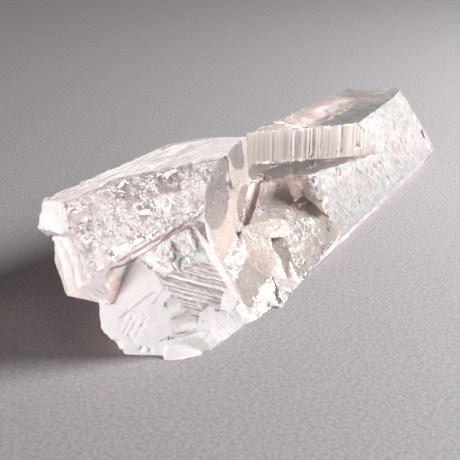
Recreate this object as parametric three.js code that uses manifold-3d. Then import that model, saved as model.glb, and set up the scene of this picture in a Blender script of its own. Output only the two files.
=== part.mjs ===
// A clear quartz crystal: a flat blade and two stubbier crystals that grew side by side
// into one solid piece, broken off rough at the near end and along one flank.
// Millimetres. +X runs along the shared long axis to the pointed tip, +Y is left, +Z is up.
// The piece rests on a flat face on its underside, and the origin is under its middle.

import * as THREE from 'three';
import { ConvexGeometry } from 'three/addons/geometries/ConvexGeometry.js';
import { mergeVertices } from 'three/addons/utils/BufferGeometryUtils.js';
import Module from 'manifold-3d';

// ---------- Driving dimensions ----------

// Quartz closes its six-sided prism with faces that lean this many degrees toward the end.
const POINT_LEAN = 38.2;
// Neighbouring prism faces of quartz turn by this many degrees.
const PRISM_STEP = 60;

// The blade, the longest of the three crystals.
const BLADE_TOP = 9.3;
const BLADE_RIGHT_TURN = 65;
const BLADE_TAPER = 5.2;
const BLADE_TIP_X = 28.6;
const BLADE_ROOT_X = -20;
const BLADE_BREAK_X = -1.8;

// The tall crystal at the left of the near end, turned a little about the long axis.
const TALL_TOP = 13;
const TALL_TURN = -13;
const TALL_LEFT_EDGE_Y = 3;
const TALL_UNDERSIDE = 4;

// The low crystal at the right of the near end.
const LOW_TOP = 8.7;
const LOW_SHOULDER_TURN = 50;
const LOW_STEPPED_TURN = 66;
const LOW_RIGHT_TURN = 75;

// The ledge under the striped wall, and the rail beside it, which rises toward the right.
const LEDGE_HEIGHT = 6.55;
const LEDGE_DIP = 6;
const RAIL_TURN = -18.6;
const RAIL_LEAN = 8.3;

// The broken flank between the low crystal and the blade.
const FLANK_TURN = 34;
const FLANK_LEAN = -17.5;
const BACK_Y = 1.5;

// Cutting solids reach this far, well past the outside of the piece.
const REACH = 40;

// Chips and grooves stand this much proud of the face they cut, so they always break it.
const OPEN_ABOVE = 0.35;

const QUARTZ_COLOUR = 0xefe6e1;
const QUARTZ_ROUGHNESS = 0.12;

// ---------- Directions and faces ----------

const UP = 0;
const DOWN = 180;
const RIGHT = 90;
const LEFT = -90;
const TO_TIP = 90;
const TO_NEAR_END = -90;

// The outward direction of a face. "turn" goes round the long axis from straight up
// toward the right side; "lean" tips the face toward the tip or, if negative, away from it.
function facing(turn, lean) {
  const t = THREE.MathUtils.degToRad(turn);
  const l = THREE.MathUtils.degToRad(lean);
  return new THREE.Vector3(
    Math.sin(l),
    -Math.cos(l) * Math.sin(t),
    Math.cos(l) * Math.cos(t),
  );
}

// The direction within such a face that runs along the crystal toward the tip.
function alongFace(turn, lean) {
  return facing(turn, lean + TO_TIP);
}

// The direction within such a face that runs down round the crystal.
function acrossFace(turn, lean) {
  return new THREE.Vector3().crossVectors(alongFace(turn, lean), facing(turn, lean));
}

// One flat face: the plane that faces (turn, lean) and passes through a point.
function face(turn, lean, x, y, z) {
  return new THREE.Plane().setFromNormalAndCoplanarPoint(
    facing(turn, lean),
    new THREE.Vector3(x, y, z),
  );
}

// ---------- Turning faces and corners into solids ----------

const wasm = await Module();
wasm.setup();

const PARALLEL_LIMIT = 1e-6;
const CORNER_TOLERANCE = 1e-4;

// The corner where three faces meet, or null when they don't meet in one point.
function meetingPoint(a, b, c) {
  const bc = new THREE.Vector3().crossVectors(b.normal, c.normal);
  const ca = new THREE.Vector3().crossVectors(c.normal, a.normal);
  const ab = new THREE.Vector3().crossVectors(a.normal, b.normal);
  const volume = a.normal.dot(bc);
  if (Math.abs(volume) < PARALLEL_LIMIT) return null;
  return bc
    .multiplyScalar(-a.constant)
    .addScaledVector(ca, -b.constant)
    .addScaledVector(ab, -c.constant)
    .divideScalar(volume);
}

// A closed solid round a set of corner points, with flat faces between them.
function solidFromCorners(corners) {
  const hull = new ConvexGeometry(corners);
  hull.deleteAttribute('normal');
  const welded = mergeVertices(hull, CORNER_TOLERANCE / 10);
  return new wasm.Manifold(
    new wasm.Mesh({
      numProp: 3,
      vertProperties: new Float32Array(welded.attributes.position.array),
      triVerts: new Uint32Array(welded.index.array),
    }),
  );
}

// A convex crystal: everything that lies behind all of its faces.
function crystal(faces) {
  const corners = [];
  for (let i = 0; i < faces.length; i += 1) {
    for (let j = i + 1; j < faces.length; j += 1) {
      for (let k = j + 1; k < faces.length; k += 1) {
        const corner = meetingPoint(faces[i], faces[j], faces[k]);
        const inside = corner && faces.every((f) => f.distanceToPoint(corner) < CORNER_TOLERANCE);
        if (inside) corners.push(corner);
      }
    }
  }
  return solidFromCorners(corners);
}

// ---------- Chips and grooves ----------

// Repeatable scatter: the same seed always gives the same row of values from 0 to 1.
function scatter(seed) {
  let state = seed;
  return () => {
    state = (state * 16807) % 2147483647;
    return state / 2147483647;
  };
}

// A value from -1 to 1.
function eitherWay(next) {
  return 2 * next() - 1;
}

// A shallow shell-shaped chip, as quartz sheds when it breaks. It is a lens lying in a face:
// "long" runs along the spun direction, "wide" the other way, "deep" into the stone.
const CHIP_RINGS = [
  { reach: 0.45, depth: 0.82 },
  { reach: 0.78, depth: 0.42 },
  { reach: 1, depth: 0 },
];

function chip({ at, turn, lean, spin = 0, long, wide, deep, sides = 9 }) {
  const out = facing(turn, lean);
  const a = alongFace(turn, lean).applyAxisAngle(out, THREE.MathUtils.degToRad(spin));
  const b = new THREE.Vector3().crossVectors(out, a);
  const corners = [at.clone().addScaledVector(out, -deep)];
  for (const ring of CHIP_RINGS) {
    for (let s = 0; s < sides; s += 1) {
      const angle = (2 * Math.PI * s) / sides;
      const corner = at
        .clone()
        .addScaledVector(a, (ring.reach * Math.cos(angle) * long) / 2)
        .addScaledVector(b, (ring.reach * Math.sin(angle) * wide) / 2)
        .addScaledVector(out, -ring.depth * deep);
      corners.push(corner);
      const rim = ring.depth === 0;
      if (rim) corners.push(corner.clone().addScaledVector(out, OPEN_ABOVE));
    }
  }
  return solidFromCorners(corners);
}

// A straight V-shaped groove in a face, running along the spun direction.
function groove({ at, turn, lean, spin, long, wide, deep }) {
  const out = facing(turn, lean);
  const a = alongFace(turn, lean).applyAxisAngle(out, THREE.MathUtils.degToRad(spin));
  const b = new THREE.Vector3().crossVectors(out, a);
  const openWidth = (wide / 2) * (1 + OPEN_ABOVE / deep);
  const corners = [];
  for (const end of [-long / 2, long / 2]) {
    const middle = at.clone().addScaledVector(a, end);
    corners.push(middle.clone().addScaledVector(out, -deep));
    for (const side of [-openWidth, openWidth]) {
      corners.push(middle.clone().addScaledVector(b, side).addScaledVector(out, OPEN_ABOVE));
    }
  }
  return solidFromCorners(corners);
}

// A patch of rough broken surface: rows and columns of overlapping chips whose place,
// size and tilt all wander, cut into the part of the face round its middle point.
const TILT_WANDER = 12;
const SIZE_WANDER = 0.3;
const CHIP_OVERLAP = 1.9;
const PLACE_WANDER = 0.3;

function brokenPatch({
  middle,
  turn,
  lean,
  length,
  width,
  columns,
  rows,
  deep,
  seed,
  tilt = TILT_WANDER,
  sides = 5,
}) {
  const next = scatter(seed);
  const along = alongFace(turn, lean);
  const across = acrossFace(turn, lean);
  const columnStep = length / columns;
  const rowStep = width / rows;
  const chips = [];
  for (let row = 0; row < rows; row += 1) {
    for (let column = 0; column < columns; column += 1) {
      const u = (column + 0.5 + PLACE_WANDER * eitherWay(next)) * columnStep - length / 2;
      const v = (row + 0.5 + PLACE_WANDER * eitherWay(next)) * rowStep - width / 2;
      chips.push(
        chip({
          at: new THREE.Vector3(...middle)
            .addScaledVector(along, u)
            .addScaledVector(across, v),
          turn: turn + tilt * eitherWay(next),
          lean: lean + tilt * eitherWay(next),
          spin: 180 * next(),
          long: CHIP_OVERLAP * columnStep * (1 + SIZE_WANDER * eitherWay(next)),
          wide: CHIP_OVERLAP * rowStep * (1 + SIZE_WANDER * eitherWay(next)),
          deep: deep * (1 + SIZE_WANDER * eitherWay(next)),
          sides: sides + Math.floor(3 * next()),
        }),
      );
    }
  }
  return chips;
}

// Small chips knocked out along an edge between two points.
function chippedEdge({ from, to, turn, lean, count, long, wide, deep, seed }) {
  const next = scatter(seed);
  const start = new THREE.Vector3(...from);
  const end = new THREE.Vector3(...to);
  const chips = [];
  for (let i = 0; i < count; i += 1) {
    const t = (i + 0.5 + PLACE_WANDER * eitherWay(next)) / count;
    chips.push(
      chip({
        at: start.clone().lerp(end, t),
        turn: turn + TILT_WANDER * eitherWay(next),
        lean: lean + 2 * TILT_WANDER * eitherWay(next),
        spin: 40 * eitherWay(next),
        long: long * (1 + 2 * SIZE_WANDER * eitherWay(next)),
        wide: wide * (1 + SIZE_WANDER * eitherWay(next)),
        deep: deep * (1 + SIZE_WANDER * eitherWay(next)),
        sides: 6,
      }),
    );
  }
  return chips;
}

// Small shallow pits, longer round the crystal than along it, scattered over a face.
function etchedFace({ middle, turn, lean, length, width, count, long, wide, deep, seed }) {
  const next = scatter(seed);
  const along = alongFace(turn, lean);
  const across = acrossFace(turn, lean);
  const pits = [];
  for (let i = 0; i < count; i += 1) {
    const u = ((i + next()) / count - 0.5) * length;
    const v = (eitherWay(next) * width) / 2;
    pits.push(
      chip({
        at: new THREE.Vector3(...middle)
          .addScaledVector(along, u)
          .addScaledVector(across, v),
        turn,
        lean,
        spin: 90 + 25 * eitherWay(next),
        long: long * (1 + SIZE_WANDER * eitherWay(next)),
        wide: wide * (1 + SIZE_WANDER * eitherWay(next)),
        deep: deep * (1 + SIZE_WANDER * eitherWay(next)),
        sides: 5,
      }),
    );
  }
  return pits;
}

// A row of parallel growth grooves in a face. The row steps across the grooves.
function growthLines({ middle, turn, lean, spin, count, spacing, long, deep, seed }) {
  const next = scatter(seed);
  const out = facing(turn, lean);
  const run = alongFace(turn, lean).applyAxisAngle(out, THREE.MathUtils.degToRad(spin));
  const step = new THREE.Vector3().crossVectors(out, run);
  const lines = [];
  for (let i = 0; i < count; i += 1) {
    const place = (i + 0.5 - count / 2 + PLACE_WANDER * eitherWay(next)) * spacing;
    lines.push(
      groove({
        at: new THREE.Vector3(...middle).addScaledVector(step, place),
        turn,
        lean,
        spin,
        long: long * (1 + SIZE_WANDER * eitherWay(next)),
        wide: spacing * (0.75 + SIZE_WANDER * eitherWay(next)),
        deep: deep * (1 + SIZE_WANDER * eitherWay(next)),
      }),
    );
  }
  return lines;
}

// ---------- The blade ----------

const base = face(DOWN, 0, 0, 0, 0);
const bladeRight = face(BLADE_RIGHT_TURN, BLADE_TAPER, -1.3, -8.1, 1.5);
const bladeBevel = face(113, BLADE_TAPER, 3.3, -7.05, 0);
const blade = crystal([
  face(5, 0.6, 10, 0, BLADE_TOP),
  bladeRight,
  bladeBevel,
  base,
  face(-2 * PRISM_STEP, -1, 10, 3.4, 0),
  face(-PRISM_STEP, 1, 8, 3, 9.7),
  // The frosted strip and the small faces that close the tip.
  face(63, 10, 22, -3.35, 6.75),
  face(15, 55, 25, -2, 8.5),
  face(UP, POINT_LEAN, 25, -1.5, 8.9),
  face(PRISM_STEP, POINT_LEAN, 27.2, -2.63, 7.3),
  face(-PRISM_STEP, POINT_LEAN, 19.9, 3, 9.6),
  face(-2 * PRISM_STEP, POINT_LEAN, 27, 1, 1),
  face(UP, TO_TIP, BLADE_TIP_X, 0, 0),
  face(-50, -62, BLADE_ROOT_X, 3, 3),
  face(60, -50, BLADE_ROOT_X, -6, 0),
]);

// The notch cut back to the striped wall: everything above the ledge and right of the wall.
// Its floor rises again to a rail along the top edge of the right face.
const WALL_LEAN = -30;
const ledge = face(UP, LEDGE_DIP, -1, 0, LEDGE_HEIGHT);
const rail = face(RAIL_TURN, RAIL_LEAN, -0.1, -5.1, 7.5);
const notch = crystal([
  ledge.clone().negate(),
  rail.clone().negate(),
  face(LEFT, -WALL_LEAN, 12, -4, 7),
  face(UP, 0, 0, 0, REACH),
  face(RIGHT, 0, 0, -REACH, 0),
  face(UP, TO_NEAR_END, -REACH, 0, 0),
]);

// The blade's right face ends at a step; nearer than that, the flank has broken away.
const brokenAway = crystal([
  face(42 + DOWN, 0, -8.5, -7.4, 0),
  face(UP, 80, BLADE_BREAK_X, -6, 4),
  face(UP, 0, 0, 0, REACH),
  face(RIGHT, 0, 0, -REACH, 0),
  face(UP, TO_NEAR_END, -REACH, 0, 0),
]);

// ---------- The tall crystal ----------

const tallRightWall = face(82, 14, -8.2, -1.1, 11.8);
const tall = crystal([
  face(TALL_TURN, 0, 0, 0, TALL_TOP),
  face(TALL_TURN + PRISM_STEP, 0, 0, 0, TALL_TOP),
  face(24, 4, -24, 0, TALL_TOP),
  face(TALL_TURN + 2 * PRISM_STEP, 0, 0, -3.8, 8.9),
  face(TALL_TURN + DOWN, 0, 0, 0, TALL_UNDERSIDE),
  face(TALL_TURN - PRISM_STEP, 0, 0, TALL_LEFT_EDGE_Y, 12.3),
  face(TALL_TURN - 2 * PRISM_STEP, 0, 0, 4.6, 5),
  tallRightWall,
  // The top runs down to the blade in two slopes.
  face(TALL_TURN, 9, -12.5, TALL_LEFT_EDGE_Y, 12.17),
  face(TALL_TURN, 16, -8.15, TALL_LEFT_EDGE_Y, 11.48),
  // The near end is broken: an upper face, and a lower one that overhangs.
  face(-69, -68.4, -28, 3, 11),
  face(DOWN, -59.5, -26.8, 0, TALL_UNDERSIDE + 0.2),
  face(RIGHT, 45, -2.5, 2.5, 0),
]);

// The bite out of the near left corner.
const bite = crystal([
  face(RIGHT - 5, 62.8, -26.5, 3, 8.6),
  face(UP, 45, -27.5, 3, 9.3),
  face(LEFT, 0, 0, REACH, 0),
  face(RIGHT, 0, 0, -3, 0),
  base,
  face(UP, TO_NEAR_END, -REACH, 0, 0),
]);

// The stone under the right end of the tall crystal.
const root = crystal([
  tallRightWall,
  face(UP, 0, 0, 0, 9),
  base,
  face(LEFT, 0, 0, 2, 0),
  face(UP, TO_NEAR_END, -16.3, 0, 0),
  face(UP, 42, -7, 0, 9),
]);

// ---------- The low crystal ----------

const low = crystal([
  face(UP, 0, 0, 0, LOW_TOP),
  face(LOW_SHOULDER_TURN, 0, -20, -4.1, LOW_TOP),
  face(LOW_STEPPED_TURN, -2.6, -21.5, -6.44, 5.32),
  face(LOW_RIGHT_TURN, 0, -19, -8.2, 0),
  // The near end: a bevel, two steep faces and a chamfered foot.
  face(62, -42, -26.2, -3.8, 7.6),
  face(RIGHT, -58, -26.3, -3, 0),
  face(RIGHT, -42, -24.4, -6.1, 5.6),
  face(-140, -40, -26.2, -2.9, 0),
  face(LEFT, 0, 0, -1.5, 0),
  // The far end meets the broken flank.
  face(53, 36, -19, -4.1, 8.8),
  base,
]);

// A thin foot that spreads on the ground under the near corner.
const foot = crystal([
  base,
  face(-58, -49, -24.6, -5.3, 0),
  face(45, -45, -25.1, -6, 0),
  face(51, -25, -24.3, -7.1, 0),
  face(50, 4, -22.9, -7.85, 0),
  face(30, -30, -24.2, -6.2, 1.1),
  face(LEFT, 0, 0, -4, 0),
  face(UP, TO_TIP, -18, 0, 0),
]);

// ---------- The broken flank ----------

const back = face(LEFT, 0, 0, BACK_Y, 0);

// The main slope, which looks toward the near end.
const flank = crystal([
  rail,
  face(6, 3, -2, -2, 6.8),
  face(FLANK_TURN, FLANK_LEAN, -6.1, -7.3, 1.6),
  bladeBevel,
  base,
  back,
  face(UP, TO_NEAR_END, -20, 0, 0),
  face(UP, TO_TIP, -1.2, 0, 0),
]);

// A steep shoulder that carries the slope up to the end of the rail.
const buttress = crystal([
  rail,
  face(20, -50, -2.1, -4.5, 6.8),
  face(80, -14, -1.9, -4.7, 5.8),
  bladeBevel,
  base,
  back,
  face(UP, TO_NEAR_END, -12, 0, 0),
  face(UP, TO_TIP, -1.3, 0, 0),
]);

// The low part beside the blade, almost level with its right face.
const flankFoot = crystal([
  face(63, -4, -2, -8.2, 1.2),
  face(34, -10, -2, -6.2, 4.1),
  face(50, -20, -6.1, -7.3, 1.7),
  face(UP, 0, 0, 0, 4.5),
  bladeBevel,
  base,
  back,
  face(UP, TO_NEAR_END, -11, 0, 0),
  face(UP, TO_TIP, -1.1, 0, 0),
]);

// The smoother plate along the ground.
const lowerPlate = crystal([
  face(46, 8, -12, -8.9, 0),
  face(50, -10, -14, -8.9, 0),
  face(24, -7, -8.5, -6.2, 2.3),
  base,
  back,
  face(UP, TO_NEAR_END, -19, 0, 0),
  face(UP, TO_TIP, -3, 0, 0),
]);

// ---------- Everything grown together ----------

let quartz = blade
  .subtract(notch)
  .subtract(brokenAway)
  .add(flank)
  .add(buttress)
  .add(flankFoot)
  .add(lowerPlate)
  .add(root)
  .add(tall.subtract(bite))
  .add(low)
  .add(foot);

// ---------- Growth lines ----------

const growth = [
  // Upright stripes on the wall above the ledge.
  growthLines({
    middle: [7.9, -1.7, 8.2],
    turn: RIGHT,
    lean: WALL_LEAN,
    spin: 90,
    count: 22,
    spacing: 0.42,
    long: 4,
    deep: 0.07,
    seed: 11,
  }),
  // Fine steps on the stepped face of the low crystal.
  growthLines({
    middle: [-21.6, -6.5, 5.3],
    turn: LOW_STEPPED_TURN,
    lean: -2.6,
    spin: -34,
    count: 10,
    spacing: 0.32,
    long: 3.2,
    deep: 0.11,
    seed: 23,
  }),
  // Slanting lines low on the near face of the low crystal.
  growthLines({
    middle: [-26, -3.5, 2.8],
    turn: RIGHT,
    lean: -58,
    spin: 64,
    count: 4,
    spacing: 0.5,
    long: 1.9,
    deep: 0.07,
    seed: 53,
  }),
  // Long striations down the top bevel of the tall crystal.
  growthLines({
    middle: [-19.5, 1.5, 12.65],
    turn: TALL_TURN,
    lean: 0,
    spin: 0,
    count: 5,
    spacing: 0.45,
    long: 11,
    deep: 0.09,
    seed: 37,
  }),
  // Cross striations on the hidden left face of the blade.
  growthLines({
    middle: [9, 4.6, 6.9],
    turn: -PRISM_STEP,
    lean: 1,
    spin: 90,
    count: 8,
    spacing: 1.9,
    long: 4,
    deep: 0.1,
    seed: 41,
  }),
];

// ---------- Breaks ----------

const breaks = [
  // The flank: a broad slope of shallow shells, and a smoother plate at its foot.
  brokenPatch({
    middle: [-6, -4, 4.1],
    turn: FLANK_TURN,
    lean: FLANK_LEAN,
    length: 9,
    width: 7.5,
    columns: 3,
    rows: 3,
    deep: 0.24,
    tilt: 5,
    sides: 9,
    seed: 105,
  }),
  brokenPatch({
    middle: [-11.4, -7, 1.7],
    turn: 46,
    lean: -1,
    length: 7,
    width: 2.6,
    columns: 2,
    rows: 1,
    deep: 0.16,
    tilt: 3,
    sides: 9,
    seed: 113,
  }),
  // The right end of the tall crystal.
  brokenPatch({
    middle: [-10.4, -2.1, 8],
    turn: 82,
    lean: 14,
    length: 9,
    width: 7,
    columns: 2,
    rows: 2,
    deep: 0.3,
    tilt: 5,
    sides: 9,
    seed: 139,
  }),
  // The near end of the tall crystal, above and below the bite.
  brokenPatch({
    middle: [-28.8, 0.6, 11.2],
    turn: -69,
    lean: -68.4,
    length: 2.6,
    width: 3.6,
    columns: 2,
    rows: 2,
    deep: 0.25,
    seed: 151,
  }),
  brokenPatch({
    middle: [-27.7, 0.6, 7.2],
    turn: LEFT,
    lean: -62.8,
    length: 6,
    width: 5,
    columns: 2,
    rows: 3,
    deep: 0.4,
    seed: 1170,
  }),
  // The lower right of the low crystal, and its far end.
  brokenPatch({
    middle: [-19.6, -7.6, 2.2],
    turn: LOW_RIGHT_TURN,
    lean: 0,
    length: 4,
    width: 3.2,
    columns: 2,
    rows: 2,
    deep: 0.22,
    tilt: 8,
    sides: 8,
    seed: 173,
  }),
];

// Single marks: facets, hollows and grooves that have a place of their own.
const marks = [
  // The groove where the tall and the low crystal meet.
  groove({
    at: new THREE.Vector3(-21.6, -3.98, 8.8),
    turn: 20,
    lean: 0,
    spin: 0,
    long: 11.4,
    wide: 0.5,
    deep: 0.55,
  }),
  // Two window-like facets on the corner of the low crystal, and the crack under them.
  chip({
    at: new THREE.Vector3(-24.2, -6.35, 4.55),
    turn: 84,
    lean: -46,
    spin: 20,
    long: 2.5,
    wide: 1.5,
    deep: 0.3,
    sides: 6,
  }),
  chip({
    at: new THREE.Vector3(-23.2, -7.1, 3),
    turn: 84,
    lean: -40,
    spin: 8,
    long: 3.6,
    wide: 1.9,
    deep: 0.3,
    sides: 5,
  }),
  groove({
    at: new THREE.Vector3(-23.2, -7.15, 1.7),
    turn: RIGHT,
    lean: -42,
    spin: 8,
    long: 3.6,
    wide: 0.3,
    deep: 0.25,
  }),
  // The hook-shaped hollow at the top far corner of the low crystal.
  chip({
    at: new THREE.Vector3(-19.6, -4.75, 7.9),
    turn: LOW_SHOULDER_TURN,
    lean: 20,
    spin: 70,
    long: 2.6,
    wide: 1,
    deep: 0.4,
    sides: 7,
  }),
  // A stepped hollow across the shoulder of the low crystal.
  chip({
    at: new THREE.Vector3(-22.2, -5, 7.5),
    turn: 40,
    lean: -14,
    spin: 60,
    long: 2.6,
    wide: 1.6,
    deep: 0.25,
    sides: 4,
  }),
  // A wide low step in the striped wall.
  groove({
    at: new THREE.Vector3(2.1, 1.7, 8),
    turn: RIGHT,
    lean: WALL_LEAN,
    spin: 90,
    long: 5,
    wide: 0.5,
    deep: 0.06,
  }),
  // Deep shells out of the bite.
  chip({
    at: new THREE.Vector3(-26.7, 3.2, 7.4),
    turn: LEFT,
    lean: -62.8,
    spin: 0,
    long: 3.4,
    wide: 3.2,
    deep: 0.7,
    sides: 8,
  }),
  // A broad shell off the near root of the blade, seen from behind.
  chip({
    at: new THREE.Vector3(-16.5, 4.2, 4.4),
    turn: -75,
    lean: -35,
    spin: 30,
    long: 8,
    wide: 5,
    deep: 0.9,
    sides: 8,
  }),
];

// ---------- Etched pits ----------

const pits = [
  etchedFace({
    middle: [11.2, -5.3, 4.8],
    turn: BLADE_RIGHT_TURN,
    lean: BLADE_TAPER,
    length: 21,
    width: 5,
    count: 34,
    long: 1.1,
    wide: 0.45,
    deep: 0.09,
    seed: 211,
  }),
  etchedFace({
    middle: [-20.5, -1.9, 10.97],
    turn: TALL_TURN + PRISM_STEP,
    lean: 0,
    length: 14,
    width: 3.8,
    count: 30,
    long: 0.8,
    wide: 0.45,
    deep: 0.1,
    seed: 223,
  }),
];

// ---------- Chipped edges ----------

const chippedEdges = [
  // The long ridges on top.
  chippedEdge({
    from: [-27.5, 3, 12.3],
    to: [-13, 3, 12.3],
    turn: -40,
    lean: 0,
    count: 7,
    long: 1.8,
    wide: 0.9,
    deep: 0.2,
    seed: 307,
  }),
  chippedEdge({
    from: [0, 3.1, 9.6],
    to: [19, 3.1, 9.7],
    turn: -30,
    lean: 0,
    count: 7,
    long: 2.2,
    wide: 0.9,
    deep: 0.22,
    seed: 311,
  }),
  // The near edge of the etched face, and the edge where the blade's right face breaks off.
  chippedEdge({
    from: [-29.2, -0.5, 12.4],
    to: [-29.9, -3, 9.9],
    turn: 20,
    lean: -45,
    count: 4,
    long: 1.2,
    wide: 1,
    deep: 0.25,
    seed: 313,
  }),
  chippedEdge({
    from: [BLADE_BREAK_X, -5.3, 7.3],
    to: [BLADE_BREAK_X, -6.3, 5],
    turn: 75,
    lean: -45,
    count: 3,
    long: 0.7,
    wide: 0.7,
    deep: 0.2,
    seed: 317,
  }),
  // The edges that stand on the ground.
  chippedEdge({
    from: [-20, -8.3, 0.3],
    to: [-9, -8.6, 0.3],
    turn: 80,
    lean: 0,
    count: 7,
    long: 1.4,
    wide: 0.8,
    deep: 0.2,
    seed: 1331,
  }),
  chippedEdge({
    from: [-26.6, -2, 1],
    to: [-24.8, -5.8, 0.2],
    turn: 100,
    lean: -55,
    count: 3,
    long: 0.9,
    wide: 0.7,
    deep: 0.2,
    seed: 337,
  }),
  // The tip.
  chippedEdge({
    from: [25, -1.6, 8.9],
    to: [27.6, -5.1, 0.8],
    turn: 62,
    lean: 30,
    count: 5,
    long: 0.9,
    wide: 1,
    deep: 0.12,
    seed: 347,
  }),
];

for (const cuts of [...growth, ...breaks, marks, ...pits, ...chippedEdges]) {
  for (const cut of cuts) quartz = quartz.subtract(cut);
}

// ---------- Hand over ----------

const mesh = quartz.getMesh();
const geometry = new THREE.BufferGeometry();
geometry.setAttribute('position', new THREE.BufferAttribute(new Float32Array(mesh.vertProperties), 3));
geometry.setIndex(new THREE.BufferAttribute(new Uint32Array(mesh.triVerts), 1));

// Put the origin under the middle of the piece, on the ground.
geometry.computeBoundingBox();
const middle = geometry.boundingBox.getCenter(new THREE.Vector3());
geometry.translate(-middle.x, -middle.y, -geometry.boundingBox.min.z);

const piece = new THREE.Mesh(
  geometry,
  new THREE.MeshStandardMaterial({
    color: QUARTZ_COLOUR,
    roughness: QUARTZ_ROUGHNESS,
    metalness: 0,
  }),
);
piece.name = 'quartz_crystal';

const group = new THREE.Group();
group.name = 'quartz';
group.add(piece);

export default group;
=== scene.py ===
# %% [markdown]
# # A rough quartz crystal
#
# Quartz grows as six-sided prisms. This piece is a flat blade and two stubbier crystals
# that grew side by side, so it is one clear solid with a great many small faces: smooth
# growth faces, faces frosted by natural etching, and shell-shaped breaks.
# The CAD solid gives every main face. Blender adds the fine relief and the clear look.
# Blender works in metres. Here, places and depths are written in millimetres and meet
# the scene through the value MM.

# %% Load the frame
import bpy
import bmesh
import math
import numpy as np
from mathutils import Euler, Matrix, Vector, noise


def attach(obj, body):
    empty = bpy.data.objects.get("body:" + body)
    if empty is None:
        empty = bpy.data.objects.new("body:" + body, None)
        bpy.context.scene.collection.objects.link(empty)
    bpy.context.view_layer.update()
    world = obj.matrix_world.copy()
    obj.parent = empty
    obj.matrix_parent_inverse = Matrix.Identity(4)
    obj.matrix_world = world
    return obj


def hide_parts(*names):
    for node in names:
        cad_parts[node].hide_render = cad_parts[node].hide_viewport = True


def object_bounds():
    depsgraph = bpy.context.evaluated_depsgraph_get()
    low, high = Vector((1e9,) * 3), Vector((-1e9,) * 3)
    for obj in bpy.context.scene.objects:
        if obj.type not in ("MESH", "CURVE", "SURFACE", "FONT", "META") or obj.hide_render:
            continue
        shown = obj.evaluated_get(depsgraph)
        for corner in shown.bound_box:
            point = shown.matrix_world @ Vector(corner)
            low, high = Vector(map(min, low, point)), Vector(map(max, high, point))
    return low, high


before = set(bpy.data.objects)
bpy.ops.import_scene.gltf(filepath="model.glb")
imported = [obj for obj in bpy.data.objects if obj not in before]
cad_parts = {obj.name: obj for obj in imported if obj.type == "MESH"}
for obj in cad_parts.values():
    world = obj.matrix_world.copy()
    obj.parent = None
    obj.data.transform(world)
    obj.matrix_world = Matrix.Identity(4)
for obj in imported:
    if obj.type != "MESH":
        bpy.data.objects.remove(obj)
cad_lo, cad_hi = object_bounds()
MM = 0.001
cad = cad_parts["quartz_crystal"]
scene = bpy.context.scene
print("CAD size in mm", [round(v / MM, 1) for v in cad_hi - cad_lo])

# %% [markdown]
# ## The view
#
# The camera looks along the crystal from its near end, a little from above. A long lens
# close to a small thing gives the mild narrowing toward the far end. The position is
# given in millimetres from the origin under the middle of the piece.

# %% Camera
CAMERA_PLACE = Vector((-69.82, -42.445, 38.6)) * MM
CAMERA_TILT = 65
CAMERA_TURN = -55
LENS = 70.43
SENSOR = 36

lens = bpy.data.cameras.new("camera")
lens.lens = LENS
lens.sensor_width = SENSOR
lens.clip_start = 1 * MM
camera = bpy.data.objects.new("camera", lens)
camera.location = CAMERA_PLACE
camera.rotation_euler = Euler((math.radians(CAMERA_TILT), 0, math.radians(CAMERA_TURN)))
scene.collection.objects.link(camera)
scene.camera = camera
print("lens", LENS, "mm at", [round(v / MM) for v in camera.location], "mm")

# %% [markdown]
# ## Plain shader helpers
#
# A material is a tree of nodes. It could be clicked together by hand, but a script that
# spells out every node and link is long. These helpers take a fixed value or another
# node's output alike, so most recipes below need one line per node.

# %% Nodes and their sockets
def plug(tree, socket, value):
    """Gives a socket a fixed value, or joins another node's output to it."""
    if isinstance(value, bpy.types.NodeSocket):
        tree.links.new(value, socket)
    else:
        socket.default_value = value


def put(tree, node, **values):
    """Plugs each value into the socket of that name, with underscores for spaces."""
    for name, value in values.items():
        plug(tree, node.inputs[name.replace("_", " ")], value)


def place(tree, kind, **values):
    """A new node. Values that name a socket go there, the others are settings."""
    node = tree.nodes.new(kind)
    for name, value in values.items():
        if name.replace("_", " ") in node.inputs:
            put(tree, node, **{name: value})
        else:
            setattr(node, name, value)
    return node


def new_material(name):
    material = bpy.data.materials.new(name)
    material.use_nodes = True
    tree = material.node_tree
    return material, tree, tree.nodes["Principled BSDF"]


# %% [markdown]
# Some nodes are needed again and again: one step of arithmetic, a change of range, a
# colour mixed in by a mask, and a bump. Each of these helpers returns the socket that
# carries the result, ready to be plugged into the next.

# %% Common nodes
MIX_BASE, MIX_OVER, MIX_RESULT = 6, 7, 2  # the colour sockets of a mix node, by number


def maths(tree, operation, *values, **settings):
    node = place(tree, "ShaderNodeMath", operation=operation, **settings)
    for socket, value in zip(node.inputs, values):
        plug(tree, socket, value)
    return node.outputs["Value"]


def vectors(tree, operation, first, second):
    """Arithmetic on vectors. Scale takes a number, a dot product or a distance gives one."""
    node = place(tree, "ShaderNodeVectorMath", operation=operation)
    plug(tree, node.inputs[0], first)
    plug(tree, node.inputs["Scale" if operation == "SCALE" else 1], second)
    return node.outputs["Value" if operation in ("DOT_PRODUCT", "DISTANCE") else "Vector"]


def remap(tree, value, start=0.0, end=1.0, low=0.0, high=1.0, soft=False):
    """Carries start to low and end to high and stops there, in a straight or a soft step."""
    node = place(tree, "ShaderNodeMapRange", interpolation_type="SMOOTHSTEP" if soft else "LINEAR")
    put(tree, node, Value=value, From_Min=start, From_Max=end, To_Min=low, To_Max=high)
    return node.outputs["Result"]


def noise_field(tree, at, scale, **values):
    node = place(tree, "ShaderNodeTexNoise", Vector=at, Scale=scale, **values)
    return node.outputs["Fac"]


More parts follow.
